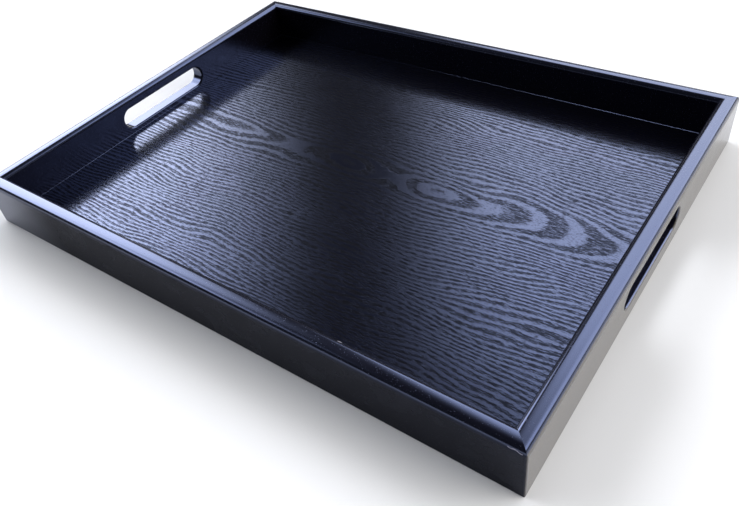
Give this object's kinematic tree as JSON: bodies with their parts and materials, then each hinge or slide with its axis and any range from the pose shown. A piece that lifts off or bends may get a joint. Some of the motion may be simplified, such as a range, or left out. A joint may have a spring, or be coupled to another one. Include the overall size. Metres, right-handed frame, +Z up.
{
  "type": "serving tray",
  "caption": "Shallow rectangular lacquered wooden tray with mitred round-edged rails, a stained open-grain board and a stadium-shaped hand slot through each short rail.",
  "frame": {"origin": "centre of the tray's footprint, on the surface that it stands on", "axes": "+X along the long rails, towards one hand slot; +Y across the tray, towards the back long rail; +Z up"},
  "size_m": [0.45, 0.342, 0.0395],
  "materials": {
    "rail_lacquer": "satin black lacquer with a violet cast over smooth wood",
    "stained_face": "black-stained open-pore oak veneer under thin satin lacquer",
    "stained_backing": "matt black-stained veneer",
    "board_core": "raw board",
    "tongue_beech": "raw beech"
  },
  "bodies": {
    "root": {"rail_front": "rail_lacquer", "rail_back": "rail_lacquer", "rail_left": "rail_lacquer", "rail_right": "rail_lacquer", "face_veneer": "stained_face", "backing_veneer": "stained_backing", "panel_core": "board_core", "tongue_front_left": "tongue_beech", "tongue_front_right": "tongue_beech", "tongue_back_left": "tongue_beech", "tongue_back_right": "tongue_beech"}
  },
  "joints": []
}
